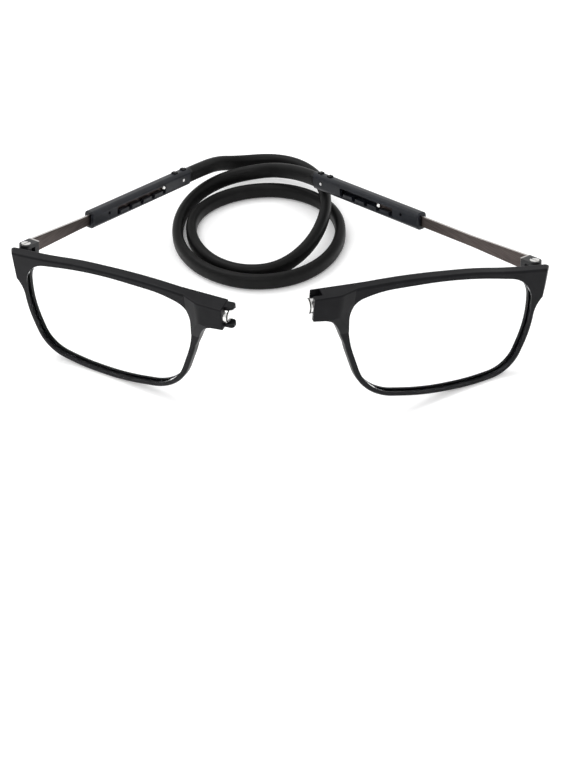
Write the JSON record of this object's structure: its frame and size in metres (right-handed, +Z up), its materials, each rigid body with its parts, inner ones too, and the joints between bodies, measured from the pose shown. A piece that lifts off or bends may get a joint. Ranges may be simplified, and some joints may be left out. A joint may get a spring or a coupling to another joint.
{
  "type": "magnetic bridge reading glasses",
  "caption": "Reading glasses that part at a magnetic bridge, opened out on a table, with sliding notched temples and a soft neck cord coiled behind.",
  "frame": {"origin": "on the table, under the middle of the two halves with their temples and sleeves", "axes": "+X to the right across both fronts, +Y from the fronts back to the cord, +Z up"},
  "size_m": [0.1352, 0.1257, 0.0423],
  "materials": {
    "frame_black": "satin black",
    "lens_clear": "clear",
    "nickel": "bright nickel",
    "strip_gunmetal": "brushed gunmetal",
    "sleeve_satin": "satin blue-black",
    "cord_silicone": "matte black"
  },
  "bodies": {
    "cord": {"left_sleeve": "sleeve_satin", "left_cord_plug": "cord_silicone", "left_cord_pin": "nickel", "right_sleeve": "sleeve_satin", "right_cord_plug": "cord_silicone", "right_cord_pin": "nickel", "cord_lead_left": "cord_silicone", "cord_coil": "cord_silicone", "cord_lead_right": "cord_silicone"},
    "left_temple": {"left_temple_strip": "strip_gunmetal", "left_click_pin": "nickel", "left_hinge_screw": "nickel"},
    "left_front": {"left_front": "frame_black", "left_lens": "lens_clear", "left_bridge_magnet": "nickel"},
    "right_temple": {"right_temple_strip": "strip_gunmetal", "right_click_pin": "nickel", "right_hinge_screw": "nickel"},
    "right_front": {"right_front": "frame_black", "right_lens": "lens_clear", "right_bridge_magnet": "nickel"}
  },
  "joints": [
    {"name": "left_temple_slide", "type": "slide", "parent": "cord", "child": "left_temple", "axis": [-0.5526, -0.8016, 0.2284], "range_m": [0, 0.0212]},
    {"name": "right_temple_slide", "type": "slide", "parent": "cord", "child": "right_temple", "axis": [0.5847, -0.7951, 0.1607], "range_m": [-0.0159, 0.0053]},
    {"name": "left_hinge_fold", "type": "hinge", "parent": "left_temple", "child": "left_front", "pos_m": [-0.06395, -0.0063, 0.02956], "axis": [0.1388, 0.1817, 0.9735], "range_deg": [-1.6, 38]},
    {"name": "right_hinge_fold", "type": "hinge", "parent": "right_temple", "child": "right_front", "pos_m": [0.06445, -0.0244, 0.02678], "axis": [-0.0092, -0.2046, -0.9788], "range_deg": [-12.9, 42]}
  ]
}
